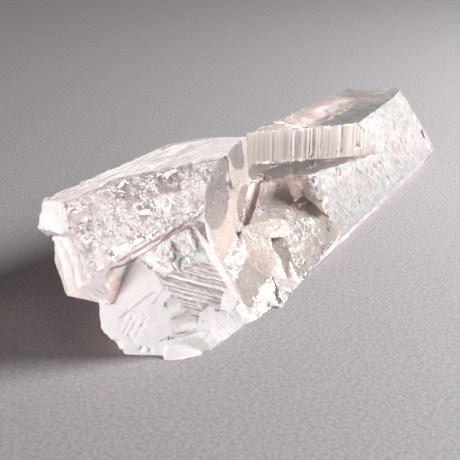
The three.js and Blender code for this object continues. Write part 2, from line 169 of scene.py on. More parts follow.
def blend(tree, factor, base, over):
    """One colour over another, as far as the mask says."""
    mix = place(tree, "ShaderNodeMix", data_type="RGBA", Factor=factor)
    plug(tree, mix.inputs[MIX_BASE], base)
    plug(tree, mix.inputs[MIX_OVER], over)
    return mix.outputs[MIX_RESULT]


def bumps(tree, height, depth, under=None, strength=1.0):
    """A bump of so many millimetres, cut in where negative, on top of the normal under it."""
    node = place(tree, "ShaderNodeBump", Height=height, Distance=abs(depth) * MM, Strength=strength)
    node.invert = depth < 0
    if under is not None:
        put(tree, node, Normal=under)
    return node.outputs["Normal"]


def own_place(tree):
    """The place of each point in the piece's own frame, in metres."""
    return place(tree, "ShaderNodeTexCoord").outputs["Object"]


# %% [markdown]
# ## The floor
#
# A plain pale table with a very fine tooth, like coated board. A flat colour would look
# like paint on a screen, so one noise field both tints it a little and roughens it. The
# surface is matt and hardly reflects, or the bright walls would wash out the shadow.

# %% Floor
FLOOR_HALF = 600 * MM
FLOOR_DARK = (0.345, 0.33, 0.345, 1)
FLOOR_LIGHT = (0.425, 0.406, 0.425, 1)
TOOTH_PER_METRE = 3000.0
TOOTH_RANGE = (0.36, 0.64)  # the noise values that give the dark and the light tint
TOOTH_DEPTH = 0.06

mesh = bpy.data.meshes.new("floor")
corners = [(-1, -1), (1, -1), (1, 1), (-1, 1)]
mesh.from_pydata([(x * FLOOR_HALF, y * FLOOR_HALF, 0) for x, y in corners], [], [(0, 1, 2, 3)])
floor = bpy.data.objects.new("floor", mesh)
scene.collection.objects.link(floor)

material, tree, shader = new_material("pale table")
tooth = noise_field(tree, own_place(tree), TOOTH_PER_METRE, Detail=4.0)
tint = blend(tree, remap(tree, tooth, *TOOTH_RANGE), FLOOR_DARK, FLOOR_LIGHT)
put(tree, shader, Base_Color=tint, Normal=bumps(tree, tooth, TOOTH_DEPTH, strength=0.5))
put(tree, shader, Roughness=0.8, Specular_IOR_Level=0.25)
mesh.materials.append(material)
print("floor", round(2 * FLOOR_HALF / MM), "mm square")

# %% [markdown]
# ## Light
#
# One soft panel stands at the right, so the shadow falls left. A second fills from the
# near left and a large one from behind. A round area light gives softer shadows than a
# sun or a point lamp, and its size sets how soft. Each is placed by how far it stands
# to the right of the camera's line and away along it, and faces the middle of the stone.

# %% Lights
SIDEWAYS = Vector((math.cos(math.radians(CAMERA_TURN)), math.sin(math.radians(CAMERA_TURN)), 0))
AWAY = Vector((-SIDEWAYS.y, SIDEWAYS.x, 0))
AIM = Vector((0, 0, 6 * MM))
WARM_WHITE = (1.0, 0.98, 0.97)
COOL_WHITE = (0.98, 0.98, 1.0)


def soft_panel(name, right, away, up, size, power, colour):
    """A round light placed by millimetres to the right, away from the eye and up."""
    data = bpy.data.lights.new(name, "AREA")
    data.shape = "DISK"
    data.size = size * MM
    data.energy = power
    data.color = colour
    lamp = bpy.data.objects.new(name, data)
    lamp.location = (SIDEWAYS * right + AWAY * away + Vector((0, 0, up))) * MM
    lamp.rotation_euler = (lamp.location - AIM).to_track_quat("Z", "Y").to_euler()
    scene.collection.objects.link(lamp)
    print(name, "of", power, "W and", size, "mm")
    return lamp


soft_panel("key panel", right=150, away=10, up=92, size=70, power=0.66, colour=WARM_WHITE)
near_panel = soft_panel(
    "near panel", right=-150, away=-170, up=45, size=80, power=0.72, colour=WARM_WHITE,
)
back_panel = soft_panel(
    "back panel", right=-40, away=260, up=240, size=260, power=0.6, colour=COOL_WHITE,
)

# %% [markdown]
# ## Walls
#
# Clear stone shows little but its surroundings. The walls are bright at table height,
# which is where the stone bends the eye's rays, and dimmer overhead. A world shader
# makes them without any mesh. Matt things get only a small share of their light, which
# keeps the shadow on the table deep, as dark cards around the table would. Seen straight
# on, behind the piece, they are shown at half strength so that they don't glare.

# %% Walls
WALL_COLOUR = (1.0, 0.975, 0.97, 1)
WALL_LOW = 1.6
WALL_HIGH = 0.5
WALL_TOP = 0.8  # how steeply up a ray goes, from 0 for level to 1 for straight up
MATT_SHARE = 0.08
SEEN_SHARE = 0.5

world = bpy.data.worlds.new("studio")
world.use_nodes = True
tree = world.node_tree
direction = place(tree, "ShaderNodeTexCoord").outputs["Generated"]
steepness = place(tree, "ShaderNodeSeparateXYZ", Vector=direction).outputs["Z"]
ray = place(tree, "ShaderNodeLightPath")
fade = remap(tree, steepness, end=WALL_TOP, low=WALL_LOW, high=WALL_HIGH)
matt = remap(tree, ray.outputs["Diffuse Depth"], low=1.0, high=MATT_SHARE)
seen = remap(tree, ray.outputs["Is Camera Ray"], low=1.0, high=SEEN_SHARE)
strength = maths(tree, "MULTIPLY", maths(tree, "MULTIPLY", fade, matt), seen)
put(tree, tree.nodes["Background"], Color=WALL_COLOUR, Strength=strength)
scene.world = world
scene.view_settings.view_transform = "Standard"
print("walls from", WALL_LOW, "at table height to", WALL_HIGH, "overhead")

# %% [markdown]
# ## The body of the crystal
#
# The real relief is far finer than the CAD faces. Moving a surface needs points to move,
# so a copy of the solid is first cut by a fine grid of planes in all three directions.
# A cut leaves every flat face exactly flat and every edge exactly where it is, which a
# smoothing subdivision or a voxel remesh would not. The first plane stands a part of a
# step inside the box, so that none runs along a flat side.

# %% Cut the copy into small faces
GRID = 0.3 * MM
GRID_START = 0.63
FLAT_WITHIN = math.radians(0.3)
SAME_POINT = 1e-4 * MM
CUT_SNAP = 2e-3 * MM

cutting = bmesh.new()
cutting.from_mesh(cad.data)
bmesh.ops.remove_doubles(cutting, verts=cutting.verts, dist=SAME_POINT)
bmesh.ops.dissolve_limit(cutting, angle_limit=FLAT_WITHIN, verts=cutting.verts, edges=cutting.edges)
for axis in range(3):
    normal = Vector((0, 0, 0))
    normal[axis] = 1
    for k in range(int((cad_hi[axis] - cad_lo[axis]) / GRID)):
        bmesh.ops.bisect_plane(
            cutting,
            geom=cutting.verts[:] + cutting.edges[:] + cutting.faces[:],
            dist=CUT_SNAP,
            plane_co=normal * (cad_lo[axis] + (k + GRID_START) * GRID),
            plane_no=normal,
        )
bmesh.ops.triangulate(cutting, faces=cutting.faces)
print("faces after the cuts", len(cutting.faces))

# %% [markdown]
# ## Sharp ridges
#
# Where two faces meet outward, quartz chips and catches light. Every such point gets a
# mark from 0 to 1 by how sharp its ridge is, which the relief and the materials use. The
# materials paint the ridges white by it, partly for the white of the chips and partly as a
# painted highlight. It could be painted by hand, but the fold of each edge already says
# where the ridges are.

# %% Mark the ridges
RIDGE_FROM = math.radians(18)
RIDGE_FULL = math.radians(50)

ridge = np.zeros(len(cutting.verts))
for edge in cutting.edges:
    if len(edge.link_faces) == 2:
        fold = edge.calc_face_angle_signed()
        if fold > RIDGE_FROM:
            sharp = min(1, (fold - RIDGE_FROM) / (RIDGE_FULL - RIDGE_FROM))
            for vert in edge.verts:
                ridge[vert.index] = max(ridge[vert.index], sharp)
print("points on a sharp ridge", int((ridge > 0).sum()), "of", len(ridge))

# %% [markdown]
# ## The stone
#
# The cut copy becomes the visible piece. The two fill panels are linked to a collection
# that holds only the stone, so they brighten it and leave the shadow on the floor alone.
# A studio would shade the floor from them with cards, which light linking replaces.

# %% Make the piece and link the fill light to it
stone_mesh = bpy.data.meshes.new("quartz")
cutting.to_mesh(stone_mesh)
cutting.free()
stone = bpy.data.objects.new("quartz", stone_mesh)
scene.collection.objects.link(stone)

lit = bpy.data.collections.new("lit by the fill panels")
lit.objects.link(stone)
for panel in (near_panel, back_panel):
    panel.light_linking.receiver_collection = lit
print("quartz has", len(stone_mesh.polygons), "faces")

# %% [markdown]
# ## Finding the growth faces
#
# A crystal face is known by the way it faces: "turn" goes round the long axis from
# straight up toward the right side, and "lean" tips it toward the pointed end. The CAD
# solid holds each face's exact place, so it is looked up there and not written twice.

# %% Look up a face of the solid
SAME_WAY = math.cos(math.radians(1.5))
SAME_PLANE = 0.12
ETCHED = (47, 0)  # turn and lean

cad_centres = np.array([p.center for p in cad.data.polygons]) / MM
cad_normals = np.array([p.normal for p in cad.data.polygons])
cad_areas = np.array([p.area for p in cad.data.polygons])


def facing(turn, lean=0):
    """The outward direction of a crystal face."""
    t, l = math.radians(turn), math.radians(lean)
    return np.array([math.sin(l), -math.cos(l) * math.sin(t), math.cos(l) * math.cos(t)])


def distance_of(turn, lean=0):
    """How far out the largest flat face that faces this way lies, in mm."""
    out = facing(turn, lean)
    alike = cad_normals @ out > SAME_WAY
    reach = cad_centres[alike] @ out
    area = cad_areas[alike]
    together = np.abs(reach[:, None] - reach[None, :]) < SAME_PLANE
    near = together[(together * area[None, :]).sum(1).argmax()]
    return float((reach[near] * area[near]).sum() / area[near].sum())


print("the etched face lies", round(distance_of(*ETCHED), 2), "mm out")

# %% [markdown]
# Each point of the fine mesh then gets a mask from 0 to 1 for each kind of face. A point
# belongs to a face when it faces roughly its way and lies on it or in a shallow pit.

# %% Masks for a face
PROUD = 0.1  # how far a point may stand out of its face, in mm
ROUGHLY = 0.55  # the cosine of how far its normal may lean away

points = np.array([v.co for v in stone_mesh.vertices]) / MM
normals = np.array([v.normal for v in stone_mesh.vertices])


def smooth(value, start, end):
    """0 at start and 1 at end, with a soft step between."""
    t = np.clip((value - start) / (end - start), 0, 1)
    return t * t * (3 - 2 * t)


def on_face(turn, lean=0, deep=0.3):
    """1 for points on this face and in pits up to "deep" mm below it, else 0."""
    out = facing(turn, lean)
    below = distance_of(turn, lean) - points @ out
    return smooth(below, deep, deep / 2) * (below > -PROUD) * (normals @ out > ROUGHLY)


# %% [markdown]
# The lists give each kind its faces as turn, lean and, where the pits are deep, depth.
# The etched faces belong to the tall crystal, so they stop at its end: farther along,
# other faces look the same way. What no list names is broken: the flank beside the
# blade, and the fresh breaks at the near end.

# %% Kinds of face
WALL = (90, -30)
STEPPED = (66, -2.6)
FACES = {
    "frosted": [(65, 5.2), (63, 10), (15, 55)],
    "etched": [ETCHED, (82, 14, 1.2)],
    "striped": [WALL],
    "stepped": [STEPPED],
    "ribbed": [(-13, 0), (-13, 9), (-13, 16), (24, 4)],
    "clear": [(5, 0.6), (0, 6), (-18.6, 8.3)],
    "near": [(90, -58), (62, -42), (50, 0)],
    "prism": [(-60, 1), (-120, -1), (-73, 0), (-133, 0), (-60, 38.2), (-120, 38.2), (113, 5.2)],
    "resting": [(180, 0), (167, 0)],
}
TALL_END = -5.5  # along the crystal, in mm
FLANK_START = (-16, -14)  # here the fresh breaks give way to the flank

masks = {name: np.max([on_face(*f) for f in faces], axis=0) for name, faces in FACES.items()}
masks["etched"] = masks["etched"] * (points[:, 0] < TALL_END)
broken = 1 - np.max(list(masks.values()), axis=0)
masks["flank"] = broken * smooth(points[:, 0], *FLANK_START)
masks["broken"] = broken - masks["flank"]
for name, mask in masks.items():
    print(f"{name:8} {100 * mask.mean():5.1f} % of the points")

# %% [markdown]
# ## Relief of each kind of face
#
# Each kind of face has its own relief, from how it grew or broke. It could be a bump in
# the material alone, but real relief also bends the edges and the light that passes
# through. It moves points along their normals, by hundredths of a millimetre on the
# faces and up to two tenths at chipped ridges, so the outline hardly changes. Noise
# functions give it, since no two growth lines are alike.

# %% Relief helpers
SEED_GAP = 57.0
EMPTY = 0.01


def ripple(p, depth, per_mm, seed=0):
    """Smooth noise of a depth in mm. per_mm: how fast it changes, overall or by direction."""
    x, y, z = np.multiply(per_mm, p)
    return depth * noise.noise(Vector((x, y, z + SEED_GAP * seed)))


def cell_gap(p, per_mm):
    """How far the nearest of many scattered cell centres is, in widths of a cell."""
    return noise.voronoi(Vector(np.multiply(per_mm, p)))[0][0]


def pattern(mask, height):
    """height(point) at every point where the mask isn't empty, times the mask."""
    result = np.zeros(len(points))
    for i in np.nonzero(mask > EMPTY)[0]:
        result[i] = mask[i] * height(points[i])
    return result


# %% [markdown]
# Growth faces: short streaks run across the frosted faces, shallow dishes cover the
# etched one, and long ribs follow the top. The clear faces only swell a little, and the
# prism faces carry the fine lines across their length that quartz is known by.

# %% Growth faces
DISH_DEPTH = 0.015
DISH_RADIUS = 0.5


def streaks(p):
    return ripple(p, 0.04, (2.2, 0.8, 0.8)) + ripple(p, 0.02, (4.5, 1.5, 1.5), 1)


def dishes(p):
    bowl = max(0, 1 - (cell_gap(p, (1.4, 1.0, 1.0)) / DISH_RADIUS) ** 2)
    return ripple(p, 0.012, 0.7, 2) - DISH_DEPTH * bowl


def ribs(p):
    return ripple(p, 0.06, (0.14, 1.8, 1.8), 5) + ripple(p, 0.03, 0.6, 6)


def swells(p):
    return ripple(p, 0.06, 0.4, 6) + ripple(p, 0.02, 1.3, 8)


def cross_lines(p):
    return ripple(p, 0.03, (2.0, 0.25, 0.25), 7)


# %% [markdown]
# The wall under the rail is striped from top to bottom, and a small face on the low
# crystal climbs in fine slanting steps. Both patterns depend only on the distance along
# one direction of their face, so that direction is worked out from the face itself.

# %% Stripes and steps
def lengthwise(turn, lean):
    """The direction within a face that runs toward the pointed end."""
    return facing(turn, lean + 90)


ALONG_WALL = lengthwise(*WALL)
ALONG_STEPPED = lengthwise(*STEPPED)
ACROSS_STEPPED = np.cross(facing(*STEPPED), ALONG_STEPPED)
STEP_SLANT = math.radians(-34)
ACROSS_STEPS = ACROSS_STEPPED * math.cos(STEP_SLANT) - ALONG_STEPPED * math.sin(STEP_SLANT)
STEP_LENGTH = 0.34
STEP_HEIGHT = 0.07


def upright_stripes(p):
    on_wall = (p @ ALONG_WALL, 0, p[2])
    return ripple(on_wall, 0.035, (2.2, 1, 0.05), 3) + ripple(on_wall, 0.015, (5.2, 1, 0.1), 4)


def small_steps(p):
    return STEP_HEIGHT * ((p @ ACROSS_STEPS / STEP_LENGTH) % 1)


# %% [markdown]
# Quartz hardly ever splits flat. It breaks like glass, in curved shells with sharp ridges
# between them. The distance to the nearest cell centre has just that form, and three
# sizes of it together look less regular. Sharp ridges crumble away here and there.

# %% Breaks and chips
SHELLS = [(0.45, 0.10, 0.5), (1.1, 0.045, 0.4), (2.6, 0.02, 0.4)]  # cells per mm, depth, usual gap
CHIP_DEPTH = 0.16
CHIP_SPREAD = 0.15  # added to the noise, so that more than half of a ridge is chipped
CRUMB_DEPTH = 0.05


def shells(p):
    return sum(depth * (cell_gap(p, per_mm) - usual) for per_mm, depth, usual in SHELLS)


def chipped(p):
    chips = max(0, ripple(p, 1, 0.9, 9) + CHIP_SPREAD)
    return -CHIP_DEPTH * chips - CRUMB_DEPTH * abs(ripple(p, 1, 3.1, 10))


# %% [markdown]
# All of it is added up and applied at once. The underside rests on the table, so nothing
# there is chipped and no point may go below the floor.

# %% Move the points
OFF_THE_FLOOR = 0.05
RELIEF = {
    "frosted": streaks,
    "etched": dishes,
    "striped": upright_stripes,
    "stepped": small_steps,
    "ribbed": ribs,
    "clear": swells,
    "near": swells,
    "prism": cross_lines,
}

relief = sum(pattern(masks[name], height) for name, height in RELIEF.items())
relief += pattern(broken, shells)
relief += pattern(ridge * (points[:, 2] > OFF_THE_FLOOR), chipped)
moved = points + normals * relief[:, None]
moved[:, 2] = np.maximum(moved[:, 2], 0)
stone_mesh.vertices.foreach_set("co", (moved * MM).astype(np.float32).ravel())
stone_mesh.update()
print("relief in mm", round(float(relief.min()), 3), "to", round(float(relief.max()), 3))

# %% [markdown]
# ## Windows and stain
#
# The etched face isn't rough all over: a few patches stayed smooth, and the eye sees
# through them into the stone. They are painted grey, as painted shade of the darker stone
# seen through them. One round patch of the flank, under the rail, is as clear and is
# painted grey the same way. Rusty water left a yellow-brown stain at the near foot of the
# seam between the two near crystals. An image could say where they are, but it would need
# unwrapping. Marks on the points need none, and the materials read them like the ridges.

# %% Places of the windows and the stain
WINDOWS = [
    [(-19.0, 0.9, 12.3), (-15.9, 0.5, 11.9), (-16.9, -0.5, 10.8), (-19.3, -0.3, 11.0)],
    [(-23.1, 1.3, 12.7), (-21.0, 1.1, 12.5), (-22.1, 0.2, 11.6), (-23.4, 0.6, 12.0)],
    [(-22.0, -0.2, 11.2), (-20.5, -0.3, 11.0), (-21.2, -1.1, 10.2), (-22.5, -0.7, 10.5)],
    [(-28.6, 1.1, 12.5), (-25.3, 1.0, 12.4), (-27.5, -0.3, 11.0), (-28.6, 0.1, 11.5)],
    [(-29.0, -0.4, 10.9), (-27.6, -0.7, 10.6), (-28.1, -1.1, 10.1), (-29.5, -1.4, 9.8)],
]
# This patch under the rail is painted grey, as painted shade, like the windows.
GREY_ARCH = (-1.2, -4.0, 6.0, 1.5)  # x, y, z and radius
STAINS = [(-26.3, -1.6, 6.6, 0.7), (-27.3, -2.0, 8.2, 0.5)]
ETCHED_FACE = facing(*ETCHED)
RAGGED_PER_MM = 1.6
WINDOW_WANDER = 0.25  # how far the edge of a window wanders, in mm
SPOT_WANDER = 0.35  # and that of a spot, in radii

ragged = np.array([ripple(p, 1, RAGGED_PER_MM, 11) for p in points])


def outlined(corners):
    """1 inside the outline through these places on the etched face, clockwise, else 0."""
    inside = np.full(len(points), 1.0)
    for here, there in zip(corners, corners[1:] + corners[:1]):
        inward = np.cross(np.subtract(there, here), ETCHED_FACE)
        inside = np.minimum(inside, (points - here) @ inward / np.linalg.norm(inward))
    on_etched = masks["etched"] > 0.1
    return smooth(inside + WINDOW_WANDER * ragged, start=-0.1, end=0.15) * on_etched


def spots(places):
    """1 inside the round spots (x, y, z, radius in mm), with ragged edges, 0 outside."""
    mark = np.zeros(len(points))
    for x, y, z, radius in places:
        away = np.linalg.norm(points - (x, y, z), axis=1) / radius
        mark = np.maximum(mark, 1 - smooth(away + SPOT_WANDER * ragged, start=0.75, end=1.1))
    return mark


# %% Keep the marks on the points
def keep(name, values):
    attribute = stone_mesh.attributes.new(name, "FLOAT", "POINT")
    attribute.data.foreach_set("value", values.astype(np.float32))
    print(name, "on", int((values > 0.5).sum()), "points")


keep("ridge", ridge)
keep("shaded_window", np.max([outlined(corners) for corners in WINDOWS] + [spots([GREY_ARCH])], axis=0))
keep("stain", spots(STAINS))

# %% [markdown]
# ## Shared effects
#
# Five effects come back in several of the finishes, so each is a node group made once,
# with its values as named inputs. Each works on the place in the stone, in metres, so it
# runs on over the edges from one face to the next.

# %% Node groups
def new_group(name, inputs, outputs):
    """An empty shader group with named sockets, and its input and output nodes."""
    group = bpy.data.node_groups.new(name, "ShaderNodeTree")
    for socket, (kind, value) in inputs.items():
        item = group.interface.new_socket(socket, in_out="INPUT", socket_type="NodeSocket" + kind)
        item.default_value = value
    for socket, kind in outputs.items():
        group.interface.new_socket(socket, in_out="OUTPUT", socket_type="NodeSocket" + kind)
    print("group", name, "gives", ", ".join(outputs))
    return group, group.nodes.new("NodeGroupInput").outputs, group.nodes.new("NodeGroupOutput")


def use_group(tree, group, **values):
    node = tree.nodes.new("ShaderNodeGroup")
    node.node_tree = group
    put(tree, node, **values)
    return node.outputs


# %% [markdown]
# **Stretched grain** is the frost of a naturally etched face. Noise that is stretched one
# way gives the streaks, and its highest spots are picked out as dark specks.

# %% Stretched grain
SPECK_RANGE = (0.54, 0.62)

grain_group, enter, leave = new_group(
    "stretched grain",
    {"Stretch": ("Vector", (1, 1, 1)), "Scale": ("Float", 1.0), "Detail": ("Float", 3.0)},
    {"Height": "Float", "Specks": "Float"},
)
stretched = vectors(grain_group, "MULTIPLY", own_place(grain_group), enter["Stretch"])
field = noise_field(grain_group, stretched, enter["Scale"], Detail=enter["Detail"])
put(grain_group, leave, Height=field, Specks=remap(grain_group, field, *SPECK_RANGE))

# %% [markdown]
# **Etch marks** are thin curved lines. The places where a noise field has its middle
# value make such lines, and a second field breaks them up into short ones.

# %% Etch marks
FIELD_MIDDLE = 0.5
BREAK_RANGE = (0.5, 0.56)

etch_group, enter, leave = new_group(
    "etch marks",
    {"Scale": ("Float", 900.0), "Width": ("Float", 0.05)},
    {"Marks": "Float"},
)
at = own_place(etch_group)
field = noise_field(etch_group, at, enter["Scale"], Detail=2.0, Distortion=0.6)
off_middle = maths(etch_group, "ABSOLUTE", maths(etch_group, "SUBTRACT", field, FIELD_MIDDLE))
line = remap(etch_group, off_middle, end=enter["Width"], low=1.0, high=0.0, soft=True)
second_field = noise_field(etch_group, at, enter["Scale"], Detail=1.0)
breaks = remap(etch_group, second_field, *BREAK_RANGE)
put(etch_group, leave, Marks=maths(etch_group, "MULTIPLY", line, breaks))

# %% [markdown]
# **Haze** is soft clouds, for where a face is more and less worn.

# %% Haze
haze_group, enter, leave = new_group(
    "haze",
    {"Scale": ("Float", 300.0), "From": ("Float", 0.45), "To": ("Float", 0.65)},
    {"Cloud": "Float"},
)
field = noise_field(haze_group, own_place(haze_group), enter["Scale"], Detail=4.0, Roughness=0.6)
put(haze_group, leave, Cloud=remap(haze_group, field, enter["From"], enter["To"], soft=True))

# %% [markdown]
# ** Growth steps** are the fine terraces of a crystal that grew layer by layer. The
# distance along one direction, cut into equal lengths, gives a sawtooth. A little noise
# in that distance makes the steps uneven, as grown ones are. The edge of each step is
# also given as a mask, and the finishes paint it darker: painted shade on the steps.

# %% Growth steps
# The part of a step that the finishes darken as its edge: painted shade.
STEP_EDGE_SHADE_RANGE = (0.62, 0.85)  # the part of a step that is shaded as its edge

steps_group, enter, leave = new_group(
    "growth steps",
    {"Direction": ("Vector", (1, 0, 0)), "Per Metre": ("Float", 3000.0), "Uneven": ("Float", 0.0)},
    {"Height": "Float", "Edges": "Float"},
)
along = vectors(steps_group, "DOT_PRODUCT", own_place(steps_group), enter["Direction"])
count = maths(steps_group, "MULTIPLY", along, enter["Per Metre"])
wobble = place(steps_group, "ShaderNodeTexNoise", noise_dimensions="1D", W=count, Scale=0.7, Detail=2.0)
uneven = maths(steps_group, "MULTIPLY_ADD", wobble.outputs["Fac"], enter["Uneven"], count)
saw = maths(steps_group, "FRACT", uneven)
put(steps_group, leave, Height=saw, Edges=remap(steps_group, saw, *STEP_EDGE_SHADE_RANGE, soft=True))

# %% [markdown]
# **A hairline** is a crack or a glint from one place to another. The group finds the
# nearest place on the straight line and how far off it is. Noise shakes the place first,
# so that the line isn't ruled. Thin meshes could do it too, but these are marks within
# the stone and have no thickness of their own.

# %% Hairline
SHAKE = 0.35 * MM
SHAKES_PER_METRE = 1500.0
NOISE_MIDDLE = (0.5, 0.5, 0.5)

line_group, enter, leave = new_group(
    "hairline",
    {"Start": ("Vector", (0, 0, 0)), "End": ("Vector", (1, 0, 0)), "Width": ("Float", 0.1 * MM)},
    {"Line": "Float"},
)
at = own_place(line_group)
field = place(line_group, "ShaderNodeTexNoise", Vector=at, Scale=SHAKES_PER_METRE, Detail=2.0)
centred = vectors(line_group, "SUBTRACT", field.outputs["Color"], NOISE_MIDDLE)
shaken = vectors(line_group, "ADD", at, vectors(line_group, "SCALE", centred, SHAKE))
span = vectors(line_group, "SUBTRACT", enter["End"], enter["Start"])
offset = vectors(line_group, "SUBTRACT", shaken, enter["Start"])
reach = vectors(line_group, "DOT_PRODUCT", offset, span)
whole = vectors(line_group, "DOT_PRODUCT", span, span)
part = maths(line_group, "DIVIDE", reach, whole, use_clamp=True)
gap = vectors(line_group, "DISTANCE", offset, vectors(line_group, "SCALE", span, part))
put(line_group, leave, Line=remap(line_group, gap, end=enter["Width"], low=1.0, high=0.0, soft=True))

# %% [markdown]
# ## The finishes
#
# All of the stone is the same quartz: refractive index 1.544 and a trace of warm colour
# that deepens with the way light takes through it, set by plain absorption. What differs
# from face to face is how clear the surface is. Tiny cracks and etch pits scatter light,
# so a face lets part of the light through and sends the rest back white. Modelling the
# pits themselves would take millions of faces, so a share of plain white stands for them.

# %% Quartz colours
QUARTZ_INDEX = 1.544
INNER_TINT = (0.985, 0.935, 0.925, 1)
INNER_DENSITY = 40.0
PALE = (0.97, 0.95, 0.94, 1)
PINKISH = (0.95, 0.87, 0.84, 1)
SHADE = (0.55, 0.51, 0.50, 1)
# Painted white for chips and white cracks, and as painted highlight on ridges and painted glints.
CHIP_WHITE_AND_GLINT = (1.0, 0.98, 0.97, 1)
IRON = (0.62, 0.47, 0.27, 1)
SEAM_BROWN = (0.30, 0.22, 0.17, 1)
# Grey for the painted shade along two facet edges of the near face.
FACET_EDGE_SHADE = (0.66, 0.63, 0.65, 1)
# Grey painted into the windows: painted shade of the darker stone seen through them.
WINDOW_PAINTED_SHADE = (0.50, 0.48, 0.48, 1)
print("quartz bends light by an index of", QUARTZ_INDEX)

# %% [markdown]
# ## Seams, cracks and glints
#
# The seam is where the two near crystals meet, and dirt has settled in it. Cracks are
# dark. The white lines are painted glints of hidden cracks, and two faint grey lines are
# painted shade along edges of facets. Each is a chain of places, and each pair of
# neighbours gives one hairline.

# %% Places of the lines
SEAM = [
    (-17.2, -2.2, 8.9), (-20.5, -2.2, 8.7), (-21.8, -2.2, 8.4),
    (-24.4, -2.7, 8.5), (-25.5, -2.0, 8.1), (-27.4, -2.1, 8.4),
]
NEAR_CRACK = [(-24.0, -3.3, 7.75), (-23.8, -3.8, 7.2), (-23.8, -4.35, 6.2)]
FLANK_CRACK = [(-0.3, -1.0, 6.95), (-0.4, -1.3, 6.9), (-1.7, -2.5, 6.6)]
LOW_CRACK = [(-21.0, -5.8, 2.3), (-22.75, -5.4, 2.1), (-23.75, -4.4, 1.7), (-24.1, -3.8, 1.3)]
NEAR_ARC = [(-24.72, -2.69, 8.28), (-24.13, -3.7, 7.32), (-23.85, -4.27, 5.93), (-24.4, -3.4, 4.6)]
NEAR_EDGE = [(-25.73, -1.26, 3.3), (-24.88, -2.63, 4.75), (-24.3, -3.56, 5.65)]
ETCHED_GLINT = [(-23.7, -0.1, 11.2), (-25.5, -0.2, 11.1), (-27.5, -0.6, 10.7), (-28.4, -0.4, 10.9)]
FLANK_GLINTS = [
    [(-2.5, 0.1, 6.6), (-3.2, -1.2, 5.6), (-3.7, -2.0, 4.8)],
    [(-4.1, -3.0, 4.2), (-4.3, -4.4, 2.8)],
    [(-2.9, -4.9, 3.0), (-4.75, -6.0, 1.6), (-2.9, -6.4, 2.0), (-2.1, -5.3, 3.0)],
]

# The lines as the finishes use them: places, width in mm, colour.
SEAM_LINE = (SEAM, 0.20, SEAM_BROWN)
LOW_CRACK_LINE = (LOW_CRACK, 0.10, SEAM_BROWN)
# The near arc and near edge are drawn in painted shade along facet edges.
NEAR_LINES = [(NEAR_ARC, 0.16, FACET_EDGE_SHADE), (NEAR_EDGE, 0.16, FACET_EDGE_SHADE), (NEAR_CRACK, 0.12, SEAM_BROWN)]
# The flank glints are painted highlight in white.
FLANK_LINES = [(FLANK_CRACK, 0.10, SEAM_BROWN)] + [(glint, 0.14, CHIP_WHITE_AND_GLINT) for glint in FLANK_GLINTS]
# The etched glint is a painted highlight in white.
ETCHED_GLINT_LINE = (ETCHED_GLINT, 0.16, CHIP_WHITE_AND_GLINT)


def chain(tree, places, width):
    """One mask for a chain of hairlines."""
    mask = 0.0
    for start, end in zip(places, places[1:]):
        hair = use_group(
            tree, line_group, Start=Vector(start) * MM, End=Vector(end) * MM, Width=width * MM,
        )
        mask = maths(tree, "MAXIMUM", hair["Line"], mask)
    return mask


# %% [markdown]
# ## One recipe for every finish
#
# A finish is made of a few effects: frost, curved marks and terraces. Each of them gives
# a mask, which says where the colour changes, and a relief that is finer than the mesh,
# as height, depth in millimetres and strength.

# %% Effects of a finish
MARK_WIDTH = 0.05
MARK_DEPTH = 0.05
VEIN_WIDTH = 0.035
VEIN_DEPTH = 0.02


def mark_on_points(tree, name, share=1.0):
    mark = place(tree, "ShaderNodeAttribute", attribute_name=name).outputs["Fac"]
    return maths(tree, "MULTIPLY", mark, share)


def frost(tree, grain, freckles, shaded_window):
    """Grain with dark freckles. The windows stayed smooth, so it has no height there."""
    stretch, scale, detail, depth = grain
    grains = use_group(tree, grain_group, Stretch=stretch, Scale=scale, Detail=detail)
    outside = maths(tree, "SUBTRACT", 1.0, shaded_window)
    height = maths(tree, "MULTIPLY", grains["Height"], outside)
    return maths(tree, "MULTIPLY", grains["Specks"], freckles), (height, depth, 1.0)


def curved_marks(tree, marks, width, depth):
    share, scale = marks
    mask = use_group(tree, etch_group, Scale=scale, Width=width)["Marks"]
    return maths(tree, "MULTIPLY", mask, share), (mask, depth, share)


def terraces(tree, steps):
    direction, per_metre, uneven, depth, share = steps
    rows = use_group(tree, steps_group, Direction=direction, Per_Metre=per_metre, Uneven=uneven)
    return maths(tree, "MULTIPLY", rows["Edges"], share), (rows["Height"], depth, 1.0)


# %% [markdown]
# The colour is built up in layers, each over the last by its mask: dark marks with step
# edges in painted shade, white veins, windows in painted grey as painted shade, ridges in
# white partly for chips and partly as painted highlight, the stain and the lines, among
# them painted glints and painted shade along facet edges. The relief is built up the same
# way, bump on bump. One function holds the recipe, so that the finishes differ only in
# their numbers and stay alike in everything else.

# %% The recipe
# How much painted white the ridges get: partly chips, partly painted highlight.
RIDGE_WHITE_AND_HIGHLIGHT_SHARE = 0.7
STAIN_SHARE = 0.6


